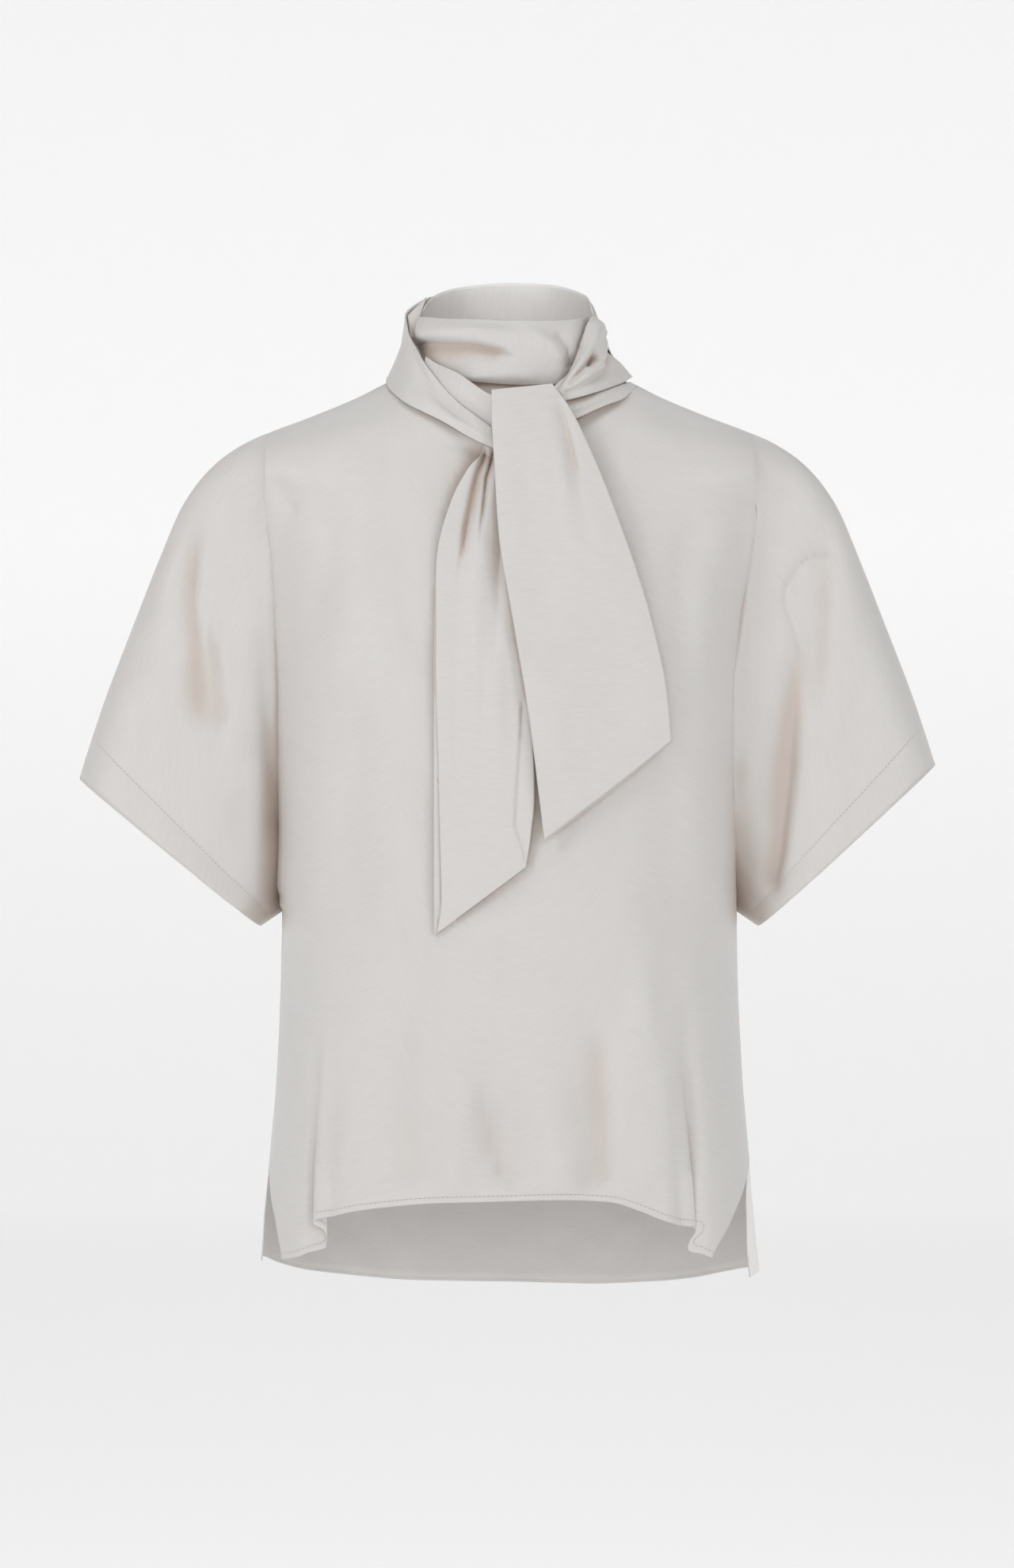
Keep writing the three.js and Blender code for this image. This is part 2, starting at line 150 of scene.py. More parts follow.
def clothMesh(name, points, keep, depth, materials, flipped=False):
    # points is a grid of cloth in mm; keep marks the cells that exist; depth is the painted
    # crease shade from 0 on a ridge to 1 in a trough, kept as the creaseShade attribute
    rows, columns = keep.shape
    number = np.full((rows, columns), -1)
    number[keep] = np.arange(keep.sum())
    a, b = number[:-1, :-1], number[:-1, 1:]
    c, d = number[1:, 1:], number[1:, :-1]
    whole = (a >= 0) & (b >= 0) & (c >= 0) & (d >= 0)
    quads = np.stack([a, b, c, d] if flipped else [a, d, c, b], 2)[whole]
    mesh = bpy.data.meshes.new(name)
    mesh.from_pydata((points[keep] / 1000).tolist(), [], quads.tolist())
    mesh.polygons.foreach_set("use_smooth", np.ones(len(quads), bool))
    crossways, lengthways = arcLength(points, 1), arcLength(points, 0)
    middle = columns // 2
    crossways = crossways - crossways[:, middle : middle + 1]
    place = np.stack([crossways[keep], lengthways[keep]], 1) / 1000
    layer = mesh.uv_layers.new(name="weave")
    layer.data.foreach_set("uv", place[quads.ravel()].astype(np.float32).ravel())
    shade = mesh.attributes.new("creaseShade", "FLOAT", "POINT")
    shade.data.foreach_set("value", np.clip(depth[keep], 0, 1).astype(np.float32))
    for material in materials:
        mesh.materials.append(material)
    piece = bpy.data.objects.new(name, mesh)
    bpy.context.scene.collection.objects.link(piece)
    shell = piece.modifiers.new("wall", "SOLIDIFY")
    shell.thickness = cloth["wall"] / 1000
    shell.offset = 0
    shell.material_offset = 1 if len(materials) > 1 else 0
    return piece


# materials


def linear(hexText):
    channels = [int(hexText[k : k + 2], 16) / 255 for k in (0, 2, 4)]
    return (*[c / 12.92 if c <= 0.04045 else ((c + 0.055) / 1.055) ** 2.4 for c in channels], 1.0)


def addNode(tree, kind, settings=None, links=None):
    node = tree.nodes.new(kind)
    for key, value in (settings or {}).items():
        if isinstance(key, int) or key in node.inputs.keys():
            node.inputs[key].default_value = value
        else:
            setattr(node, key, value)
    for key, source in (links or {}).items():
        tree.links.new(source, node.inputs[key])
    return node


def newMaterial(name):
    material = bpy.data.materials.new(name)
    material.use_nodes = True
    material.node_tree.nodes.clear()
    return material, material.node_tree


satinFinish = {
    # the right side's own colour, then painted shade for half hidden cloth and for the bottom of a pocket
    "right": ("D6D3D0", "C5B6AB", "8A7A70"),
    # the wrong side: the same cloth, its lit tone painted lighter as painted light for the light that shines
    # through the cloth into the inside, then its painted shade tones
    "wrong": ("F6F4F1", "E6E1DD", "A39A93"),
    "weftSpacing": 1.9,
    "slubLength": 14.0,
    "weftDarkest": 0.955,
    "weftDepth": 0.0003,
    "weftRelief": 0.25,
    "cloudSize": 90,
    "cloudDarkest": 0.975,
    "roughness": {"right": 0.50, "wrong": 0.62},
    "ior": 1.50,
    "sheen": 0.25,
    "sheenRoughness": 0.45,
}
threadFinish = {"colour": "BFB6AC", "twist": 0.8, "twistDarkest": 0.9, "roughness": 0.7, "ior": 1.5}


def wovenSatin(name, settings, face):
    # polyester satin, woven: long floats give a soft broad gloss, and the weft shows as
    # very fine level lines. The real threads are 0.15 mm apart, too fine for the render,
    # so the lines are drawn about 2 mm apart and very faint.
    material, tree = newMaterial(name)
    place = addNode(tree, "ShaderNodeUVMap", {"uv_map": "weave"})
    crease = addNode(tree, "ShaderNodeAttribute", {"attribute_name": "creaseShade"})
    weft = addNode(
        tree,
        "ShaderNodeMapping",
        {"Scale": (1000 / settings["slubLength"], 1000 / settings["weftSpacing"], 1.0)},
        {"Vector": place.outputs["UV"]},
    )
    threads = addNode(
        tree,
        "ShaderNodeTexNoise",
        {"Scale": 1.0, "Detail": 2.0, "Roughness": 0.6},
        {"Vector": weft.outputs["Vector"]},
    )
    cloudy = addNode(
        tree,
        "ShaderNodeTexNoise",
        {"Scale": 1000 / settings["cloudSize"], "Detail": 2.0},
        {"Vector": place.outputs["UV"]},
    )
    # painted shade by the creaseShade value: lit cloth, then half hidden cloth, then the bottom of a pocket
    tone = addNode(tree, "ShaderNodeValToRGB", {}, {"Fac": crease.outputs["Fac"]})
    stops = tone.color_ramp.elements
    stops.new(0.5)
    for stop, hexText in zip(stops, settings[face]):
        stop.color = linear(hexText)
    fine = addNode(
        tree,
        "ShaderNodeMapRange",
        {"From Min": 0.3, "From Max": 0.7, "To Min": settings["weftDarkest"], "To Max": 1.0},
        {"Value": threads.outputs["Fac"]},
    )
    broad = addNode(
        tree,
        "ShaderNodeMapRange",
        {"From Min": 0.3, "From Max": 0.7, "To Min": settings["cloudDarkest"], "To Max": 1.0},
        {"Value": cloudy.outputs["Fac"]},
    )
    both = addNode(
        tree,
        "ShaderNodeMath",
        {"operation": "MULTIPLY"},
        {0: fine.outputs["Result"], 1: broad.outputs["Result"]},
    )
    colour = addNode(
        tree,
        "ShaderNodeVectorMath",
        {"operation": "SCALE"},
        {0: tone.outputs["Color"], "Scale": both.outputs["Value"]},
    )
    relief = addNode(
        tree,
        "ShaderNodeBump",
        {"Strength": settings["weftRelief"], "Distance": settings["weftDepth"]},
        {"Height": threads.outputs["Fac"]},
    )
    shader = addNode(
        tree,
        "ShaderNodeBsdfPrincipled",
        {
            "Roughness": settings["roughness"][face],
            "IOR": settings["ior"],
            "Metallic": 0.0,
            "Sheen Weight": settings["sheen"],
            "Sheen Roughness": settings["sheenRoughness"],
        },
        {"Base Color": colour.outputs["Vector"], "Normal": relief.outputs["Normal"]},
    )
    addNode(tree, "ShaderNodeOutputMaterial", {}, {"Surface": shader.outputs["BSDF"]})
    return material


def spunThread(name, settings):
    # spun polyester sewing thread: matt, a touch darker than the cloth it sits in
    material, tree = newMaterial(name)
    place = addNode(tree, "ShaderNodeTexCoord")
    twist = addNode(
        tree,
        "ShaderNodeTexNoise",
        {"Scale": 1000 / settings["twist"], "Detail": 1.0},
        {"Vector": place.outputs["Object"]},
    )
    tone = addNode(
        tree,
        "ShaderNodeMapRange",
        {"From Min": 0.3, "From Max": 0.7, "To Min": settings["twistDarkest"], "To Max": 1.0},
        {"Value": twist.outputs["Fac"]},
    )
    colour = addNode(
        tree,
        "ShaderNodeVectorMath",
        {"operation": "SCALE", 0: linear(settings["colour"])[:3]},
        {"Scale": tone.outputs["Result"]},
    )
    shader = addNode(
        tree,
        "ShaderNodeBsdfPrincipled",
        {"Roughness": settings["roughness"], "IOR": settings["ior"]},
        {"Base Color": colour.outputs["Vector"]},
    )
    addNode(tree, "ShaderNodeOutputMaterial", {}, {"Surface": shader.outputs["BSDF"]})
    return material


satinRight = wovenSatin("woven_satin_right_side", satinFinish, "right")
satinWrong = wovenSatin("woven_satin_wrong_side", satinFinish, "wrong")
thread = spunThread("spun_polyester_thread", threadFinish)
satinBoth = [satinRight, satinWrong]
print("materials made")

# the body panels

body = {
    "neckHalfWidth": 89,
    "armTop": (178, 3, -33),
    "underarm": (168, 26, -386),
    "cuffTopLeft": (317.5, 12, -289),
    "cuffTopRight": (314.5, 12, -278),
    "cuffBottom": (184, 2, -397),
    "cuffHem": 17.5,
    "hem": 4,
    "sleeveFrontDepth": 50,
    "sleeveBackDepth": 45,
    "sleeveRoundness": 2.6,
    "yokeSquareness": 2.4,
    "slitTop": -566,
    # z, half width, front depth, back depth, y of the side, squareness
    "sections": [
        (12, 86, 60, 66, 0, 2.0),
        (4, 89, 62, 68, 0, 2.0),
        (-8, 113, 66, 73, 1, 2.0),
        (-22, 147, 71, 79, 2, 2.1),
        (-36, 183, 77, 84, 3, 2.2),
        (-50, 207, 82, 88, 4, 2.2),
        (-64, 216, 86, 91, 5, 2.2),
        (-85, 198, 92, 94, 4, 2.2),
        (-120, 181, 100, 97, 0, 2.3),
        (-170, 172, 110, 99, -6, 2.4),
        (-228, 169, 118, 99, 0, 2.4),
        (-300, 168.5, 121, 97, 12, 2.4),
        (-386, 168, 120, 95, 26, 2.4),
        (-430, 168.5, 118, 95, 18, 2.4),
        (-500, 171, 117, 97, 8, 2.4),
        (-565, 176, 117, 100, -4, 2.4),
        (-620, 180.5, 118, 103, -10, 2.4),
        (-675, 185.5, 119, 105, -12, 2.4),
    ],
    # x, z of the shoulder and overarm seam
    "overarm": [
        (89, 4), (113, -8), (147, -22), (183, -36), (208, -50), (224, -64),
        (241, -87), (257, -123), (278, -176), (298, -228), (314.5, -278), (318, -290),
    ],
    # z, x of the fold between body and sleeve on the wearer's right and left
    "armholeFold": [
        (-33, 178, 178), (-88, 176, 180), (-123, 173, 176), (-175, 170, 168),
        (-228, 168.5, 162), (-270, 168.5, 163), (-386, 168, 168),
    ],
    "frontNeckline": [(0, -46), (12, -44), (30, -38), (46, -30), (66, -15), (80, -4), (89, 4)],
    "backNeckline": [(0, -6), (30, -5), (60, -2), (80, 1), (89, 4)],
    "frontHem": [
        (-170, -639), (-155, -636), (-142, -629), (-135, -614), (-128, -605), (-93, -598),
        (-47, -594), (0, -593), (34, -592), (73, -594), (90, -599), (107, -606),
        (127, -614), (134, -629), (150, -637),
    ],
    "backHem": [
        (-184, -640), (-172, -649), (-150, -657), (-127, -661), (-80, -666), (0, -669),
        (52, -669.5), (111, -667), (135, -664), (158, -658), (183, -650),
    ],
    # z, angle of the panel edges: front right, back right, front left, back left
    "slitEdges": [
        (-555, 90, 90, 90, 90),
        (-566, 88, 88, 86, 86),
        (-586, 79, 86, 73, 76),
        (-612, 69, 84, 60, 73),
        (-640, 63, 83, 50, 71),
        (-672, 62, 83, 49, 71),
    ],
}

# Each panel: its deep folds, which the solids have too (x1, z1, x2, z2, width, push), then
# its creases (the line's (x, z) points, width, push out of the cloth, sharpness),
# how much painted shade its hidden cloth takes, and the cut of the sheet in metres
frontPanelSettings = {
    "deepFolds": [
        (-125, -70, -141, -180, 16, -4),
        (-130, -500, -139, -640, 9, -6),
        (-150, -520, -152, -640, 8, 3),
        (126, -430, 134, -640, 8, -6),
        (112, -470, 116, -620, 10, 4),
        (-24, -470, 6, -600, 20, -4),
        (56, -500, 62, -600, 18, -4),
        (160, -170, 152, -290, 10, 3),
    ],
    "creases": [
        ([(-174, -68), (-154, -97)], 6, -2.5, 1.6),
        ([(-232, -88), (-234, -160), (-228, -200), (-226, -262)], (6, 13), -6.5, 2, 0.3, 0.25),
        ([(-218, -172), (-213, -215), (-209, -272)], (4, 11), -5.5, 1.8, 0.25, 0.4),
        ([(-198, -96), (-191, -160), (-185, -241), (-181, -321)], 12, 2.5, 2),
        ([(-269, -183), (-262, -240), (-239, -298)], 22, -2.5, 2),
        ([(184, -80), (177, -112), (173, -160), (166, -215), (164, -280)], 6, 3.5, 2, 0.1, 0.3),
        ([(204, -160), (195, -226), (182, -265), (174, -305)], 11, 4.5, 2, 0.5, 0.2),
        (
            [(217, -172), (207, -222), (204, -290), (199, -340), (191, -378)],
            (7, 19), -8.5, 2, 0.35, 0.1,
        ),
        ([(229, -84), (233, -160), (227, -232), (223, -262)], (9, 17), -5, 2, 0.45, 0.4),
        ([(259, -194), (250, -252), (230, -304)], 22, -2.5, 2),
        ([(-22, -500), (-16, -545), (-9, -570), (3, -588)], (12, 4), -5, 2, 0.4, 0.15),
        ([(62, -440), (65, -520), (66, -590)], (10, 16), -6, 2, 0.5, 0.1),
        ([(27, -482), (32, -538), (35, -588)], 19, 4.5, 2, 0.4, 0.1),
        ([(-20, -38), (-22, -200), (-20, -400)], 46, -3.6, 4, 0.04, 0.1),
        ([(-16, -44), (-22, -80), (-30, -130)], 15, -4.5, 2.4, 0.1, 0.4),
        ([(-177, -64), (-173, -150), (-171, -260), (-170, -375)], 7, 4.5, 2, 0.1, 0.03),
        ([(-187, -260), (-183, -330), (-178, -385)], 13, 6, 2, 0.4, 0.02),
        ([(-64, -405), (-68, -504), (-72, -590)], 23, -4, 2, 0.5, 0.1),
        ([(-139, -230), (-143, -327), (-143, -441), (-140, -500)], 16, 3.5, 2),
        ([(-116, -213), (-111, -298), (-116, -401)], 26, -3, 2),
        ([(135, -138), (139, -241), (135, -384)], 18, 3, 2),
        ([(115, -275), (118, -384), (115, -469)], 16, -3, 2),
        ([(-99, -81), (-82, -150), (-70, -218)], 20, -3, 2),
        ([(130, -81), (125, -150), (123, -218)], 16, -3, 2),
        ([(97, -400), (99, -490), (101, -585)], 15, 4.5, 2, 0.5, 0.1),
        ([(-40, -420), (-42, -500), (-42, -590)], 15, 4, 2, 0.4, 0.1),
    ],
    "hiddenPaintedShade": 0.42,
    "flat": (0.76, 0.68),
    "area": 0.30,
    "held": "hung",
    "restsOn": ["back_panel_cloth"],
    "slot": "satin",
}

backPanelSettings = {
    "deepFolds": [
        (-108, -120, -92, -300, 22, -5),
        (104, -130, 90, -320, 22, -5),
        (-66, -430, -74, -665, 24, -6),
        (60, -410, 70, -665, 24, -6),
        (0, -450, 0, -668, 26, 5),
        (128, -480, 136, -660, 16, 4),
        (-130, -470, -138, -655, 16, 4),
    ],
    "creases": [
        ([(-176, -70), (-150, -110)], 8, -2.5, 1.6),
        ([(-228, -95), (-230, -170), (-222, -240)], 14, -4, 2),
        ([(-200, -210), (-188, -300), (-180, -360)], 12, -5, 2),
        ([(-262, -190), (-250, -260), (-230, -310)], 20, -2.5, 2),
        ([(178, -70), (154, -108)], 8, -2.5, 1.6),
        ([(230, -98), (232, -160), (224, -235)], 14, -4, 2),
        ([(203, -215), (190, -295), (181, -352)], 12, -5, 2),
        ([(264, -196), (252, -262), (232, -312)], 20, -2.5, 2),
        ([(-40, -60), (-52, -150), (-60, -260)], 18, -2.5, 2),
        ([(46, -64), (54, -160), (66, -250)], 16, -2.5, 2),
        ([(-20, -280), (-28, -400), (-22, -520)], 20, 3, 2),
        ([(36, -300), (30, -420), (38, -560)], 18, 2.5, 2),
        ([(112, -340), (104, -450), (110, -600)], 18, -3, 2),
        ([(-120, -330), (-108, -460), (-116, -610)], 18, -3, 2),
    ],
    "hiddenPaintedShade": 0.42,
    "flat": (0.76, 0.72),
    "area": 0.31,
    "held": "hung",
    "restsOn": ["front_panel_cloth"],
    "slot": "satin",
}

panelSettings = {-1: frontPanelSettings, 1: backPanelSettings}

# S-shaped laps near the front hem: x of the lap at z -480 and -620, which side is in
# front, how far it laps over, and the step in depth
hemLaps = [
    {"top": -137.5, "bottom": -137, "frontSide": 1, "width": 9, "lap": 8.5, "rise": 7},
    {"top": 124, "bottom": 132, "frontSide": 1, "width": 8, "lap": 6.5, "rise": 6},
]

lapReach = {"top": -480, "length": 140, "start": -455, "fadeIn": 150, "behind": 45}

# the grid of each panel: rows run from the neck and overarm seam (0) past the underarm (11)
# and the top of the slit (17) to the hem (20 to 21); columns run from the middle (0) past
# the side and armhole (13) to the cuff's hem (20 to 21)
grid = {"underarm": 11, "slit": 17, "hem": 20, "side": 13, "cuff": 20, "crowding": 1.5}
divisions = {"body": 62, "sleeve": 50, "upper": 112, "lower": 84, "lapColumns": 16}
panelFinish = {
    "seamFade": 1.2,
    "hemFade": 0.15,
    "alongNormal": 0.6,
    "troughDepth": 8,
    "troughPaintedShade": 0.34,
}


def foldPush(face, x, z):
    push = np.zeros(np.broadcast(x, z).shape)
    for x1, z1, x2, z2, width, depth in panelSettings[face]["deepFolds"]:
        t = (z - z1) / (z2 - z1)
        away = (x - (x1 + (x2 - x1) * t)) / width
        push = push + depth * ease(t * 2.5) * ease((1.15 - t) * 6) * np.exp(-away * away)
    return push


def bodySection(z):
    return [readColumn(body["sections"], k, z) for k in range(1, 6)]


def bodyY(face, x, z):
    half, front, back, side, power = bodySection(z)
    share = np.minimum(np.abs(x) / half, 1)
    rounded = (1 - share**power) ** (1 / power)
    reach = face * ((front if face < 0 else back) + foldPush(face, x, z))
    return side + (reach - side) * rounded


def yokeGrid(face, column, row):
    sign = np.where(column < 0, -1, 1)
    share = (row / grid["underarm"]) ** grid["crowding"]
    turn = np.radians(90 * np.abs(column) / grid["side"])
    across = np.sin(turn) ** (2 / body["yokeSquareness"])
    topX = across * body["armTop"][0]
    neckline = body["frontNeckline" if face < 0 else "backNeckline"]
    topZ = np.where(
        topX < body["neckHalfWidth"],
        readColumn(neckline, 1, topX),
        readColumn(body["overarm"], 1, topX),
    )
    z = topZ + (body["underarm"][2] - topZ) * share
    foldX = np.where(
        sign < 0,
        readColumn(body["armholeFold"], 1, z),
        readColumn(body["armholeFold"], 2, z),
    )
    x = topX + (across * foldX - topX) * ease(share * 3)
    y = bodyY(face, sign * x, z)
    seamY = readColumn(body["sections"], 4, topZ)
    y = np.where((row == 0) & (topX >= body["neckHalfWidth"]), seamY, y)
    return np.stack([sign * x, y, z], -1)


def sleeveGrid(face, column, row):
    sign = np.sign(column)
    rib = np.abs(column) - grid["side"]
    ribs = grid["cuff"] - grid["side"]
    armX, armY, armZ = body["armTop"]
    left = sign < 0
    pick = lambda k: np.where(left, body["cuffTopLeft"][k], body["cuffTopRight"][k])
    overarmLength = np.hypot(pick(0) - armX, pick(2) - armZ)
    under, low = np.array(body["underarm"], float), np.array(body["cuffBottom"], float)
    underLength = np.linalg.norm(low - under)
    share = np.minimum(rib / ribs, 1)
    hemPart = np.clip(rib - ribs, 0, 1)
    cuffHem = body["cuffHem"]
    reach = lambda length: share * (1 - cuffHem / length) + hemPart * cuffHem / length
    top, bottom = reach(overarmLength), reach(underLength)
    w = (row / grid["underarm"]) ** grid["crowding"]
    seamX = armX + (pick(0) - armX) * (top**1.18 * 0.72 + top * 0.28)
    seam = np.stack(
        [seamX, armY + (pick(1) - armY) * top, readColumn(body["overarm"], 1, seamX)], -1
    )
    lower = under + (low - under) * bottom[..., None]
    point = seam + (lower - seam) * w[..., None]
    straightX = armX + (under[0] - armX) * w
    foldZ = armZ + (under[2] - armZ) * w
    foldX = np.where(
        left,
        readColumn(body["armholeFold"], 1, foldZ),
        readColumn(body["armholeFold"], 2, foldZ),
    )
    point[..., 0] += (foldX - straightX) * (1 - top)
    depth = body["sleeveFrontDepth" if face < 0 else "sleeveBackDepth"]
    power = body["sleeveRoundness"]
    rounded = np.maximum(1 - np.abs(2 * w - 1) ** power, 0) ** (1 / power)
    tubeY = point[..., 1] + face * depth * rounded
    edge = (row == 0) | (row == grid["underarm"])
    valleyY = np.where(edge, point[..., 1], bodyY(face, foldX, point[..., 2]))
    opened = np.sin(np.radians(90 * np.minimum(top * 1.15, 1))) ** 0.6
    point[..., 1] = valleyY + (tubeY - valleyY) * opened
    point[..., 0] *= sign
    return point


def skirtGrid(face, column, row):
    sign = np.where(column < 0, -1, 1)
    share = np.abs(column) / grid["side"]
    hemTable = body["frontHem" if face < 0 else "backHem"]
    first = 1 if face < 0 else 2

    def place(z):
        edge = np.where(
            sign < 0,
            readColumn(body["slitEdges"], first, z),
            readColumn(body["slitEdges"], first + 2, z),
        )
        angle = np.radians(share * edge if face < 0 else 180 - share * (180 - edge))
        half, front, back, side, power = bodySection(z)
        x = sign * half * np.abs(np.sin(angle)) ** (2 / power)
        deep = np.abs(np.cos(angle)) ** (2 / power)
        # a back edge turned past the side runs on round the front's curve
        inFront, behind = -front - foldPush(-1, x, z), back + foldPush(1, x, z)
        reach = np.where(angle <= np.pi / 2, inFront, behind)
        y = side + (reach - side) * deep
        return np.stack([x, y, z], -1)

    hemZ = np.full(column.shape, -600.0 if face < 0 else -660.0)
    for _ in range(4):
        hemZ = readColumn(hemTable, 1, place(hemZ)[..., 0])
    under, slit = body["underarm"][2], body["slitTop"]
    slitRow, hemRow = grid["slit"] - grid["underarm"], grid["hem"] - grid["underarm"]
    toHem = (row - slitRow) / (hemRow - slitRow)
    z = np.where(
        row <= slitRow,
        under + (slit - under) * row / slitRow,
        np.where(
            row <= hemRow,
            slit + (hemZ + body["hem"] - slit) * toHem,
            hemZ + body["hem"] * (hemRow + 1 - row),
        ),
    )
    return place(z)


def lapOver(points):
    x, y, z = points[..., 0].copy(), points[..., 1].copy(), points[..., 2]
    for lap in hemLaps:
        lower = np.clip((lapReach["top"] - z) / lapReach["length"], 0, 1)
        line = lap["top"] + (lap["bottom"] - lap["top"]) * lower
        strength = ease((lapReach["start"] - z) / lapReach["fadeIn"])
        d = (points[..., 0] - line) * lap["frontSide"]
        u = np.clip(d / lap["width"], -1, 1)
        x = x - lap["frontSide"] * lap["lap"] * strength * np.sin(np.pi * u)
        step = (1 + np.sin(np.pi * u / 2)) / 2
        far = np.maximum(d - lap["width"], 0) / lapReach["behind"]
        y = y - lap["rise"] * strength * step * np.exp(-far * far)
    return np.stack([x, y, z], -1)


def panelGrid(face):
    side, cuff, underarm = grid["side"], grid["cuff"], grid["underarm"]
    half = np.linspace(0, side, divisions["body"] + 1)
    if face < 0:
        # finer columns where the front's laps are
        dense = np.linspace(6.7, 9.8, divisions["lapColumns"] * 3)
        half = np.concatenate([half[half < 6.6], dense, half[half > 9.9]])
    cuffStart = np.linspace(side, cuff, divisions["sleeve"] + 1)[1:]
    cuffHem = np.linspace(cuff, cuff + 1, 7)[1:]
    half = np.concatenate([half, cuffStart, cuffHem])
    columns = np.concatenate([-half[:0:-1], half])
    hemRow = grid["hem"] - underarm
    upper = np.linspace(0, 1, divisions["upper"] + 1) ** (1 / 1.25) * underarm
    lower = np.linspace(0, hemRow, divisions["lower"] - 3)[1:]
    hem = np.linspace(hemRow, hemRow + 1, 5)[1:]
    rows = np.concatenate([upper, underarm + lower, underarm + hem])
    row, column = np.meshgrid(rows, columns, indexing="ij")
    inBody = np.abs(column) <= side
    isUpper = row <= underarm
    yoke = yokeGrid(face, np.where(inBody, column, 0.0), np.where(isUpper, row, 0.0))
    outside = np.where(inBody, side + 1.0, column)
    sleeve = sleeveGrid(face, outside, np.where(isUpper, row, 0.0))
    below = np.where(isUpper, 0.0, row - underarm)
    skirt = skirtGrid(face, np.where(inBody, column, 0.0), below)
    points = np.where(
        isUpper[..., None], np.where(inBody[..., None], yoke, sleeve), skirt
    )
    keep = inBody | isUpper
    return points, keep, rows, columns, row, column


def makePanel(name, face):
    points, keep, rows, columns, row, column = panelGrid(face)
    x, z = points[..., 0], points[..., 2]
    # creases fade out at the seams, where the two panels meet
    fade, underarm, side = panelFinish["seamFade"], grid["underarm"], grid["side"]
    seamTop = ease(row / fade)
    seamSide = np.where(
        row <= underarm,
        np.where(np.abs(column) >= side - 1, ease((underarm - row) / fade), 1.0),
        np.where(row <= grid["slit"], ease((side - np.abs(column)) / fade), 1.0),
    )
    inner = seamTop * seamSide
    push = creasePush(panelSettings[face]["creases"], x, z)
    # painted shade: the deeper a crease's trough, the more of the darker, warmer painted shade tones it
    # takes
    trough = ease(-push / panelFinish["troughDepth"]) ** 2
    # broad and fine unevenness, in mm
    push += 0.9 * softNoise(x, z * 0.6, 34, 11 + face) + 0.5 * softNoise(x, z, 15, 21 + face)
    bodyColumns, upperRows = np.abs(columns) <= side, rows <= underarm
    normals = np.zeros_like(points)
    normals[:, bodyColumns] = surfaceNormals(points[:, bodyColumns])
    normals[upperRows] = surfaceNormals(points[upperRows])
    if (normals[..., 1] * face)[keep].sum() < 0:
        normals = -normals
    away = np.zeros_like(points)
    away[..., 1] = face
    lean = panelFinish["alongNormal"]
    sideways = np.clip(normals * lean + away * (1 - lean), -1, 1)
    points = points + sideways * (push * inner)[..., None]
    if face < 0:
        points = lapOver(points)
    # the hems are folded twice, so they stand a little proud
    hemRow = ease((row - grid["hem"]) / panelFinish["hemFade"])
    hemCuff = ease((np.abs(column) - grid["cuff"]) / panelFinish["hemFade"])
    points = points + away * (cloth["hemPuff"] * np.maximum(hemRow, hemCuff))[..., None]
    # a hair's gap keeps the two panels apart at the seams
    points[..., 1] += face * cloth["seamGap"]
    shade = trough * panelFinish["troughPaintedShade"] * inner
    piece = clothMesh(name, points, keep, shade, satinBoth)
    return piece, points, keep, rows, columns


frontPanel, frontPoints, frontKeep, panelRows, frontColumns = makePanel("front_panel_cloth", -1)
backPanel, backPoints, backKeep, _, backColumns = makePanel("back_panel_cloth", 1)
print("panels made")

# collar and tie

ribbonFinish = {
    "seamInside": 2.0,
    "seamAbove": 0.4,
    "outward": (0.9, 1.0, 0.0),
    "frontEnds": 34,
    "frontFade": 20,
    "uneven": 0.35,
    "unevenSize": 13,
    "troughDepth": 7,
    "troughPaintedShade": 0.5,
}
neckRibbons = {}


def neckSeam(face, x):
    rows = body["frontNeckline" if face < 0 else "backNeckline"]
    z = readColumn(rows, 1, np.abs(x))
    y = np.where(np.abs(x) >= body["neckHalfWidth"], 0.0, bodyY(face, x, z))
    flat = np.hypot(x, y)
    inside, above = ribbonFinish["seamInside"], ribbonFinish["seamAbove"]
    return x - inside * x / flat, y - inside * y / flat, z + above


def rowsFromRim(rim, backPiece):
    rows = []
    for k, (x, y, z, seamX, arch) in enumerate(rim):
        ends = k in (0, len(rim) - 1)
        face = 1 if backPiece and not ends else -1
        sx, sy, sz = neckSeam(face, np.float64(seamX))
        rows.append((x, y, z, float(sx), float(sy), float(sz), arch))
    return rows


def makeRibbon(name, settings):
    # the neck seam's pieces have a rim alone, and the others a row of both edges
    rows = settings.get("rows") or rowsFromRim(settings["rim"], name == "collar_back_band")
    lengthSteps, widthSteps = settings["size"]
    table = np.array(rows, float)
    stations = np.arange(len(rows))
    at = np.linspace(0, len(rows) - 1, lengthSteps + 1)
    ax, ay, az, bx, by, bz, arch = [smoothRead(stations, table[:, k], at) for k in range(7)]
    a, b = np.stack([ax, ay, az], 1), np.stack([bx, by, bz], 1)
    v = np.linspace(0, 1, widthSteps + 1)
    points = a[:, None] + (b - a)[:, None] * v[None, :, None]
    outward = points * np.array(ribbonFinish["outward"])
    outward /= np.linalg.norm(outward, axis=2, keepdims=True)
    points = points + outward * (arch[:, None] * 4 * v * (1 - v))[..., None]
    normals = surfaceNormals(points)
    turned = (normals * outward).sum() < 0
    normals = -normals if turned else normals
    x, y, z = points[..., 0], points[..., 1], points[..., 2]
    front = ease((ribbonFinish["frontEnds"] - y) / ribbonFinish["frontFade"])
    push = creasePush(settings["creases"][-1], x, z) * front
    push += creasePush(settings["creases"][1], x, z) * (1 - front)
    push += ribbonFinish["uneven"] * softNoise(x + y, z, ribbonFinish["unevenSize"], 5)
    points = points + normals * push[..., None]
    # painted shade in the ribbon's troughs
    shade = ease((-push - 1) / ribbonFinish["troughDepth"]) * ribbonFinish["troughPaintedShade"]
    keep = np.ones(points.shape[:2], bool)
    return clothMesh(name + "_cloth", points, keep, shade, satinBoth, not turned)


def addRibbon(name, settings):
    neckRibbons[name] = (makeRibbon(name, settings), settings)
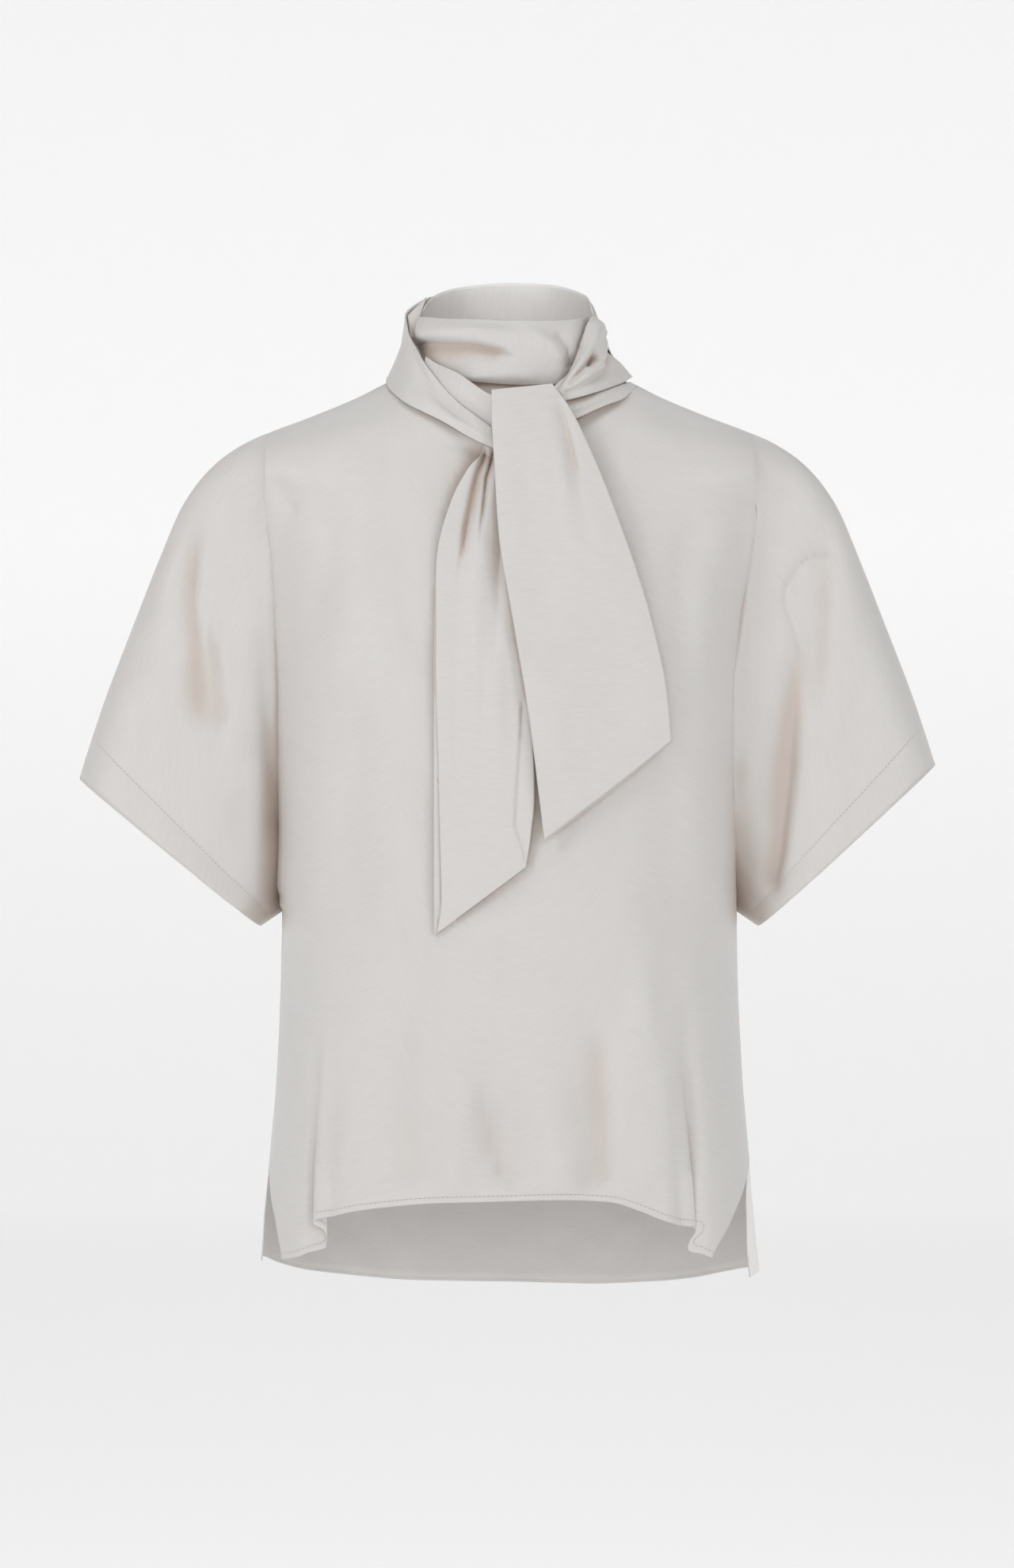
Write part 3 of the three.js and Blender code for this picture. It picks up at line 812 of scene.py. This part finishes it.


# A piece at the neck: its rim (x, y, z, then x of the neck seam below it, and the arch) or
# its rows (both edges' x, y, z, and the arch), its creases in front (-1) and behind (1), its
# mesh size, how much painted shade its hidden cloth takes, and its sheet in metres
collarBackBand = {
    # rim x, y, z, then the neck seam below it and the arch
    "rim": [
        (-62, -2, 60, -88, 0), (-59, 12, 66, -88.5, -2), (-49, 34, 74, -80, -4),
        (-27, 53, 80, -46, -4), (0, 60, 82.5, 0, -3), (27, 53, 81, 46, -4),
        (47, 34, 75, 80, -4), (58, 11, 67, 88.5, -2), (60.5, -7, 56.5, 87, 0),
    ],
    "creases": {1: [([(-60, 20), (0, 34), (58, 22)], 7, -1.5, 2)], -1: []},
    "size": (110, 34),
    "hiddenPaintedShade": 0.2,
    "flat": (0.27, 0.085),
    "held": "folded",
    "restsOn": ["back_panel_cloth"],
    "slot": "satin",
}
addRibbon("collar_back_band", collarBackBand)

collarStandFront = {
    "rim": [
        (-54, -31, 8, -68, -1), (-41, -43, 6, -52, -1), (-22, -52, 4, -28, -1),
        (0, -55, 3, 0, -1), (22, -52, 4, 28, -1), (41, -43, 6, 52, -1),
        (54, -31, 8, 68, -1),
    ],
    "creases": {-1: [], 1: []},
    "size": (80, 24),
    "hiddenPaintedShade": 0.65,
    "flat": (0.16, 0.045),
    "held": "folded",
    "restsOn": ["front_panel_cloth"],
    "slot": "satin_shade",
}
addRibbon("collar_stand_front", collarStandFront)

collarWrapFront = {
    "rows": [
        (-61.5, 8, 67.5, -75, -4, 53, 0),
        (-66, -12, 51, -72, -16, 32, 0),
        (-62, -28, 50, -62, -38, 12, 3.5),
        (-47, -41, 47.5, -45, -52, 5, 6),
        (-20, -50, 46.5, -20, -60, 0.5, 6),
        (12, -51, 46, 12, -62, -1.5, 6),
        (35, -44, 46.5, 34, -58, -1, 5),
        (52, -29, 49, 49, -43, 10, 3),
        (58, -13, 53, 58, -24, 28, 1),
    ],
    "creases": {
        -1: [
            ([(-74, 33), (-50, 31), (-25, 29.5), (-6, 25), (6, 16)], (1.5, 17), -6.5, 1.8, 0.02, 0.3),
            ([(-70, 40), (-30, 38), (10, 34), (30, 30)], 6, 2.6, 2, 0.05, 0.5),
            ([(-40, 3), (-20, 5), (4, 5), (24, 3)], 5, 3.4, 2),
            ([(14, 38), (30, 28), (40, 12)], 5, 1.8, 2),
            ([(34, 40), (44, 26), (46, 10)], 3.5, -2.6, 1.8, 0.2, 0.1),
        ],
        1: [],
    },
    "size": (140, 54),
    "hiddenPaintedShade": 0.2,
    "flat": (0.19, 0.06),
    "held": "folded",
    "restsOn": ["collar_back_band_cloth"],
    "slot": "satin",
}
addRibbon("collar_wrap_front", collarWrapFront)

collarTurnOuter = {
    "rows": [
        (-8, -88, -38, -10, -90, -50, 1),
        (-25, -79, -25, -27, -86, -42, 2),
        (-45, -66, -7, -49, -77, -29, 2),
        (-65, -47, 20, -78, -57, -13, 1),
        (-74, -27, 38, -89, -30, -1, -1),
        (-76.5, -4, 53.5, -90.5, -4, 6, -3),
        (-64, 14, 66, -90, 15, 8, -2),
        (-54, 38, 71, -80, 44, 5, -2),
        (-30, 61, 74, -46, 71, 1, -2),
        (0, 67, 75, 0, 79, -1, -2),
        (30, 61, 74, 46, 71, 1, -2),
        (54, 38, 70, 80, 44, 6, -2),
        (60.5, 14, 63, 90, 15, 9, -4),
        (64.5, -3, 51.5, 90.5, -4, 8, -3),
        (61, -24, 51, 85, -29, 3, 1),
        (54, -48, 34, 71, -55, -4, 4),
        (44, -65, 12, 52, -73, -11, 3),
        (30, -76, -8, 31, -79, -16, 1),
    ],
    "creases": {
        -1: [
            ([(34, -8), (44, 12), (52, 28), (57, 50)], (1.2, 5), -4.5, 1.6, 0.1, 0.1),
            ([(40, -2), (54, 12), (63, 24), (68, 30)], (2.0, 5), -3.2, 1.6, 0.2, 0.3),
            ([(57, 12), (62, 19), (66, 24)], (1.6, 4), -4.5, 1.6, 0.3, 0.3),
            ([(37, -9), (59, 2), (70, 11), (74, 21), (75, 34)], (1.8, 7), -4.4, 1.6, 0.1, 0.06),
            ([(64, 50), (71, 43), (72, 38)], 6, 3.2, 2, 0.4, 0.2),
            ([(34, -9), (50, 12), (62, 30), (66, 46)], 3, 2.6, 2, 0.1, 0.2),
            ([(36, -11), (56, 3), (74, 18)], 3, 2.6, 2, 0.1, 0.2),
            ([(40, -13), (62, -4), (86, 8)], 3, 1.8, 2, 0.1, 0.2),
            ([(-28, -29), (-46, -15), (-63, 6), (-76, 38)], (6, 4), -2.4, 2, 0.2, 0.2),
            ([(-14, -44), (-40, -28), (-70, -6)], 3, 1.4, 2),
        ],
        1: [
            ([(-84, 30), (-50, 44), (0, 50), (50, 46), (84, 32)], 5, -2.6, 1.8),
            ([(-86, 14), (-50, 22), (10, 24), (60, 28)], 4, -2.0, 1.8),
            ([(-60, 36), (-10, 38), (50, 34)], 5, 1.6, 2),
        ],
    },
    "size": (380, 46),
    "hiddenPaintedShade": 0.65,
    "flat": (0.56, 0.06),
    "held": "folded",
    "restsOn": ["collar_back_band_cloth"],
    "slot": "satin",
}
addRibbon("collar_turn_outer", collarTurnOuter)

collarFoldLeftInner = {
    "rows": [
        (-61, -45, 20, -64, -52, 0, 0),
        (-54, -51, 15, -56, -58, -8, 1),
        (-38, -64, 7, -39, -68, -18, 1),
        (-15, -77, -9, -17, -79, -34, 1),
        (-3, -85, -13, -6, -84, -40, 1),
    ],
    "creases": {-1: [([(-50, 4), (-30, -10), (-10, -26)], 7, 0.9, 2)], 1: []},
    "size": (70, 26),
    "hiddenPaintedShade": 0.25,
    "flat": (0.075, 0.024),
    "held": "folded",
    "restsOn": ["collar_turn_outer_cloth"],
    "slot": "satin_shade",
}
addRibbon("collar_fold_left_inner", collarFoldLeftInner)

collarBandRightLower = {
    "rows": [
        (26, -76, -18, 30, -85, -33, 0),
        (42, -72, -14, 46, -82, -28, 0),
        (60, -63, -9, 65, -71, -19, 0),
        (77, -45.5, -2.5, 84.5, -51, -10, 0),
        (88, -18, 3, 93, -20, 0, 0),
    ],
    "creases": {-1: [([(32, -24), (56, -17), (80, -6)], 2.4, -1.2, 2)], 1: []},
    "size": (90, 18),
    "hiddenPaintedShade": 0.65,
    "flat": (0.09, 0.016),
    "held": "folded",
    "restsOn": ["front_panel_cloth"],
    "slot": "satin",
}
addRibbon("collar_band_right_lower", collarBandRightLower)

tieFront = {
    "rows": [
        (-13, -84, -7, 31, -80, -2, 1),
        (-13, -91, -24, 43, -88, -19, 3),
        (-11, -102, -60, 60, -97, -54, 4),
        (-8, -114, -110, 82, -104, -110, 4),
        (3, -124, -178, 101, -108, -168, 3),
        (14, -129, -245, 113, -110, -222, 3),
        (25, -130, -333, 117, -110, -261, 2),
    ],
    "creases": {
        -1: [
            ([(35, -12), (43, -40), (49, -66), (54, -98)], (2.2, 9), -4.4, 1.6, 0.1, 0.7),
            ([(31, -10), (36, -44), (40, -84), (50, -140)], 7, 1.6, 2, 0.1, 0.5),
            ([(8, -20), (10, -70), (20, -130), (30, -200)], 12, -1.6, 2),
            ([(60, -150), (72, -210), (84, -260)], 16, -1.6, 2),
            ([(20, -190), (34, -260), (44, -300)], 14, 1.6, 2),
        ],
        1: [],
    },
    "size": (190, 60),
    "hiddenPaintedShade": 0.65,
    "flat": (0.105, 0.31),
    "held": "hung",
    "restsOn": ["front_panel_cloth"],
    "slot": "satin",
    "underLayer": "tie_front_under_layer",
}
addRibbon("tie_front", tieFront)

tieFrontUnderLayer = {
    "rows": [
        (25.5, -127.4, -322, 25.0, -127.4, -334.2, 0),
        (71, -119.4, -287, 71.4, -119.4, -299.0, 0),
        (116, -107.6, -252, 116.6, -107.6, -262.0, 0),
    ],
    "creases": {-1: [], 1: []},
    "size": (60, 6),
    "hiddenPaintedShade": 0.65,
    "slot": "satin",
}
addRibbon("tie_front_under_layer", tieFrontUnderLayer)

tieBack = {
    "rows": [
        (-18, -83, -45.5, -5, -83.5, -45.5, 0),
        (-20.5, -85, -52, -4, -85.5, -52, 1),
        (-31, -89, -66, 2, -91, -64, 2),
        (-43, -94, -90, 6, -97, -90, 1),
        (-53, -104, -138, 10, -108, -136, 1),
        (-53, -117, -213, 14, -120.5, -206, 1),
        (-51.5, -119.5, -270, 17, -123, -258, 1),
        (-50, -120.5, -330, 18, -124, -300, 1),
        (-49, -120.5, -374, 15.5, -124, -328, 1),
        (-52, -120.5, -400, 12, -123, -352, 1),
    ],
    "creases": {
        -1: [
            ([(-17, -47), (-24, -66), (-28, -84), (-33, -106), (-38, -150)], (6, 1.6), -5.5, 1.5, 0.06, 0.5),
            ([(-11, -47), (-17, -70), (-19, -92), (-22, -125)], (4, 1.6), -4.5, 1.5, 0.06, 0.5),
            ([(-4, -54), (-4, -90), (-8, -150), (-12, -220)], (3, 5), -2.6, 1.6, 0.05, 0.6),
            ([(-14, -60), (-20, -110), (-24, -190), (-26, -290)], 5, 2.0, 2, 0.2, 0.5),
            ([(-36, -130), (-38, -220), (-40, -330)], 5, -1.4, 2),
            ([(-10, -160), (-10, -260), (-14, -350)], 9, 1.6, 2),
            ([(9, -230), (7, -275), (4, -322), (10, -340), (12, -352)], (5, 0.9), -1.8, 1.8, 0.1, 0.1),
        ],
        1: [],
    },
    "size": (220, 56),
    "hiddenPaintedShade": 0.65,
    "flat": (0.066, 0.34),
    "held": "hung",
    "restsOn": ["front_panel_cloth"],
    "slot": "satin",
    "underLayer": "tie_back_under_layer",
}
addRibbon("tie_back", tieBack)

tieBackUnderLayer = {
    "rows": [
        (-53.5, -103.2, -142, -40, -105, -142, 0),
        (-54.5, -115.5, -213, -40, -116.5, -213, 0),
        (-54.5, -118.7, -298, -40, -119, -298, 0),
        (-54.5, -118.7, -401.5, -38, -119, -391, 0),
    ],
    "creases": {-1: [], 1: []},
    "size": (100, 8),
    "hiddenPaintedShade": 0.65,
    "slot": "satin",
}
addRibbon("tie_back_under_layer", tieBackUnderLayer)

print("collar and tie made")

# how hidden each spot of the cloth is, painted into its colour as shade: hidden spots take the
# darker, warmer painted shade tones, standing in for light that bounces between folds of this satin and
# turns warm

hidden = {"rays": 12, "reach": 0.075, "seed": 4, "lift": 0.0012, "gain": 1.7, "least": 0.17}


def paintShadeOnHiddenCloth(pieces, strengths):
    corners, polygons = [], []
    for piece in pieces:
        base = len(corners)
        corners += [tuple(v.co) for v in piece.data.vertices]
        polygons += [[base + k for k in p.vertices] for p in piece.data.polygons]
    tree = BVHTree.FromPolygons(corners, polygons)
    rng = np.random.default_rng(hidden["seed"])
    turns = rng.uniform(0, 2 * math.pi, hidden["rays"])
    lifts = np.sqrt((np.arange(hidden["rays"]) + 0.5) / hidden["rays"])
    flats = np.sqrt(1 - lifts**2)
    spread = np.stack([flats * np.cos(turns), flats * np.sin(turns), lifts], 1)
    for piece, strength in zip(pieces, strengths):
        mesh = piece.data
        shade = np.zeros(len(mesh.vertices), np.float32)
        for n, vertex in enumerate(mesh.vertices):
            normal = vertex.normal
            side = normal.orthogonal().normalized()
            over = normal.cross(side)
            start = vertex.co + normal * hidden["lift"]
            total = 0.0
            for a, b, c in spread:
                found = tree.ray_cast(start, side * a + over * b + normal * c, hidden["reach"])
                if found[3] is not None:
                    total += 1 - found[3] / hidden["reach"]
            shade[n] = total / hidden["rays"]
        first = np.zeros(len(mesh.vertices), np.float32)
        mesh.attributes["creaseShade"].data.foreach_get("value", first)
        # painted shade for hidden spots, added to the painted crease shade
        hiddenShade = np.clip(shade * hidden["gain"] - hidden["least"], 0, 1)
        both = np.clip(first + strength * hiddenShade, 0, 1)
        mesh.attributes["creaseShade"].data.foreach_set("value", both.astype(np.float32))


allCloth = [(frontPanel, frontPanelSettings), (backPanel, backPanelSettings)]
allCloth += neckRibbons.values()
paintShadeOnHiddenCloth([piece for piece, _ in allCloth], [s["hiddenPaintedShade"] for _, s in allCloth])
print("hidden cloth toned")

# stitches

stitching = {"length": 2.3, "pitch": 3.3, "width": 0.55, "proud": 0.12, "sides": 5}
stitchLines = []


def gridLine(points, keep, rowAt=None, columnAt=None):
    line = points[rowAt, :] if rowAt is not None else points[:, columnAt]
    kept = keep[rowAt, :] if rowAt is not None else keep[:, columnAt]
    return line[kept]


def addStitches(line, outward):
    steps = np.linalg.norm(np.diff(line, axis=0), axis=1)
    reach = np.concatenate([[0], np.cumsum(steps)])
    starts = np.arange(1.0, reach[-1] - stitching["length"], stitching["pitch"])
    read = lambda at: np.stack([np.interp(at, reach, line[:, k]) for k in range(3)], -1)
    first, last = read(starts), read(starts + stitching["length"])
    offset = np.asarray(outward, float) * (cloth["wall"] / 2 + stitching["proud"])
    stitchLines.append((first + offset, last + offset))


def makeStitches(name):
    first = np.concatenate([f for f, _ in stitchLines])
    last = np.concatenate([end for _, end in stitchLines])
    vertices, faces = [], []
    radius, sides = stitching["width"] / 2, stitching["sides"]
    for start, end in zip(first, last):
        run = (end - start) / max(np.linalg.norm(end - start), 1e-6)
        side = np.cross(run, (0.0, 1.0, 0.0))
        side /= max(np.linalg.norm(side), 1e-6)
        up = np.cross(run, side)
        base = len(vertices)
        for share, size in ((0.0, 0.35), (0.25, 1.0), (0.75, 1.0), (1.0, 0.35)):
            centre = start + (end - start) * share
            for k in range(sides):
                turn = 2 * math.pi * k / sides
                rim = side * math.cos(turn) + up * math.sin(turn)
                vertices.append((centre + rim * radius * size) / 1000)
        for ring in range(3):
            for k in range(sides):
                here = base + ring * sides + k
                there = base + ring * sides + (k + 1) % sides
                faces.append((here, there, there + sides, here + sides))
        faces.append(tuple(base + k for k in reversed(range(sides))))
        faces.append(tuple(base + 3 * sides + k for k in range(sides)))
    mesh = bpy.data.meshes.new(name)
    mesh.from_pydata([tuple(v) for v in vertices], [], faces)
    mesh.polygons.foreach_set("use_smooth", np.ones(len(faces), bool))
    mesh.materials.append(thread)
    piece = bpy.data.objects.new(name, mesh)
    bpy.context.scene.collection.objects.link(piece)
    return piece


hemRowIndex = int(np.argmin(np.abs(panelRows - grid["hem"])))
for points, keep, columns, face in (
    (frontPoints, frontKeep, frontColumns, -1),
    (backPoints, backKeep, backColumns, 1),
):
    addStitches(gridLine(points, keep, rowAt=hemRowIndex), (0, face, 0))
    for cuff in (-grid["cuff"], grid["cuff"]):
        cuffColumn = int(np.argmin(np.abs(columns - cuff)))
        addStitches(gridLine(points, keep, columnAt=cuffColumn), (0, face, 0))
hemStitches = makeStitches("hem_stitches")
print("stitches made")

# riding


def register(piece, node):
    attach(piece, "root")
    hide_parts(node)


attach(hemStitches, "root")
register(frontPanel, "front_panel")
register(backPanel, "back_panel")
for node, (piece, settings) in neckRibbons.items():
    if "flat" not in settings:
        # the under layers are attached with the tie ends they belong to
        continue
    if "underLayer" in settings:
        under, underSettings = neckRibbons[settings["underLayer"]]
        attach(under, "root")
    register(piece, node)

# studio

studio = {
    "camera": (-1.755, -4500, -292.5),
    "frameHeight": 1158.3,
    "sensor": 36,
    "floorZ": -1.02,
    "coveFloor": 6.0,
    "coveBend": 1.2,
    "coveTop": 1.8,
    "paper": "F4F4F4",
    "paperGlow": 0.31,
    "air": "F6F6F8",
    "airStrength": 0.26,
    # place, aim, width and height in metres, watts
    "lamps": {
        "keyLeft": ((-2.6, -2.6, 1.3), (0, 0, -0.35), (1.0, 1.8), 30),
        "keyRight": ((2.6, -2.6, 1.0), (0, 0, -0.35), (1.0, 1.8), 17),
        "topLight": ((0, -0.9, 2.6), (0, 0, -0.2), (2.2, 1.2), 22),
        "frontFill": ((0, -4.4, 0.3), (0, 0, -0.5), (2.4, 1.0), 16),
        "floorWash": ((0, 3.2, 3.2), (0, 2.6, -1.02), (3.0, 2.0), 30),
    },
}

cameraData = bpy.data.cameras.new("photoCamera")
camera = bpy.data.objects.new("photoCamera", cameraData)
bpy.context.scene.collection.objects.link(camera)
camera.location = Vector(studio["camera"]) / 1000
camera.rotation_euler = (math.radians(90), 0, 0)
cameraData.sensor_width = studio["sensor"]
cameraData.lens = studio["sensor"] * -studio["camera"][1] / studio["frameHeight"]
cameraData.clip_end = 60
bpy.context.scene.camera = camera


def seamlessPaper(name, hexText, glow):
    # matt photo background paper: flat, with a barely visible tooth
    material, tree = newMaterial(name)
    place = addNode(tree, "ShaderNodeTexCoord")
    tooth = addNode(
        tree,
        "ShaderNodeTexNoise",
        {"Scale": 400.0, "Detail": 1.0},
        {"Vector": place.outputs["Object"]},
    )
    relief = addNode(
        tree,
        "ShaderNodeBump",
        {"Strength": 0.05, "Distance": 0.001},
        {"Height": tooth.outputs["Fac"]},
    )
    shader = addNode(
        tree,
        "ShaderNodeBsdfPrincipled",
        {
            "Base Color": linear(hexText),
            "Roughness": 0.9,
            "Specular IOR Level": 0.0,
            "Emission Color": linear("FFFFFF"),
            "Emission Strength": glow,
        },
        {"Normal": relief.outputs["Normal"]},
    )
    addNode(tree, "ShaderNodeOutputMaterial", {}, {"Surface": shader.outputs["BSDF"]})
    return material


def makeCove():
    # a round cove, so that each view has plain paper behind the blouse
    floorZ, floorRadius, bend = studio["floorZ"], studio["coveFloor"], studio["coveBend"]
    profile = [(0.001, floorZ), (floorRadius, floorZ)]
    bendSteps = 12
    for k in range(1, bendSteps + 1):
        turn = math.pi / 2 * k / bendSteps
        rim = floorRadius + bend * math.sin(turn)
        profile.append((rim, floorZ + bend - bend * math.cos(turn)))
    profile.append((floorRadius + bend, studio["coveTop"]))
    steps = 96
    vertices, faces = [], []
    for radius, z in profile:
        for k in range(steps):
            turn = 2 * math.pi * k / steps
            vertices.append((radius * math.cos(turn), radius * math.sin(turn), z))
    for ring in range(len(profile) - 1):
        for k in range(steps):
            here, there = ring * steps + k, ring * steps + (k + 1) % steps
            faces.append((here, there, there + steps, here + steps))
    mesh = bpy.data.meshes.new("paper_cove")
    mesh.from_pydata(vertices, [], faces)
    mesh.polygons.foreach_set("use_smooth", np.ones(len(faces), bool))
    paper = seamlessPaper("seamless_paper", studio["paper"], studio["paperGlow"])
    mesh.materials.append(paper)
    cove = bpy.data.objects.new("paper_cove", mesh)
    bpy.context.scene.collection.objects.link(cove)
    return cove


makeCove()


def softbox(name, place, aim, size, power):
    light = bpy.data.lights.new(name, "AREA")
    light.shape, light.size, light.size_y = "RECTANGLE", size[0], size[1]
    light.energy = power
    lamp = bpy.data.objects.new(name, light)
    bpy.context.scene.collection.objects.link(lamp)
    lamp.location = place
    lamp.rotation_euler = (Vector(aim) - Vector(place)).to_track_quat("-Z", "Y").to_euler()


for lampName, lampSettings in studio["lamps"].items():
    softbox(lampName, *lampSettings)

world = bpy.data.worlds.new("studioWorld")
world.use_nodes = True
air = world.node_tree.nodes["Background"]
air.inputs["Color"].default_value = linear(studio["air"])
air.inputs["Strength"].default_value = studio["airStrength"]
bpy.context.scene.world = world
bpy.context.scene.view_settings.view_transform = "Standard"
print("studio made")
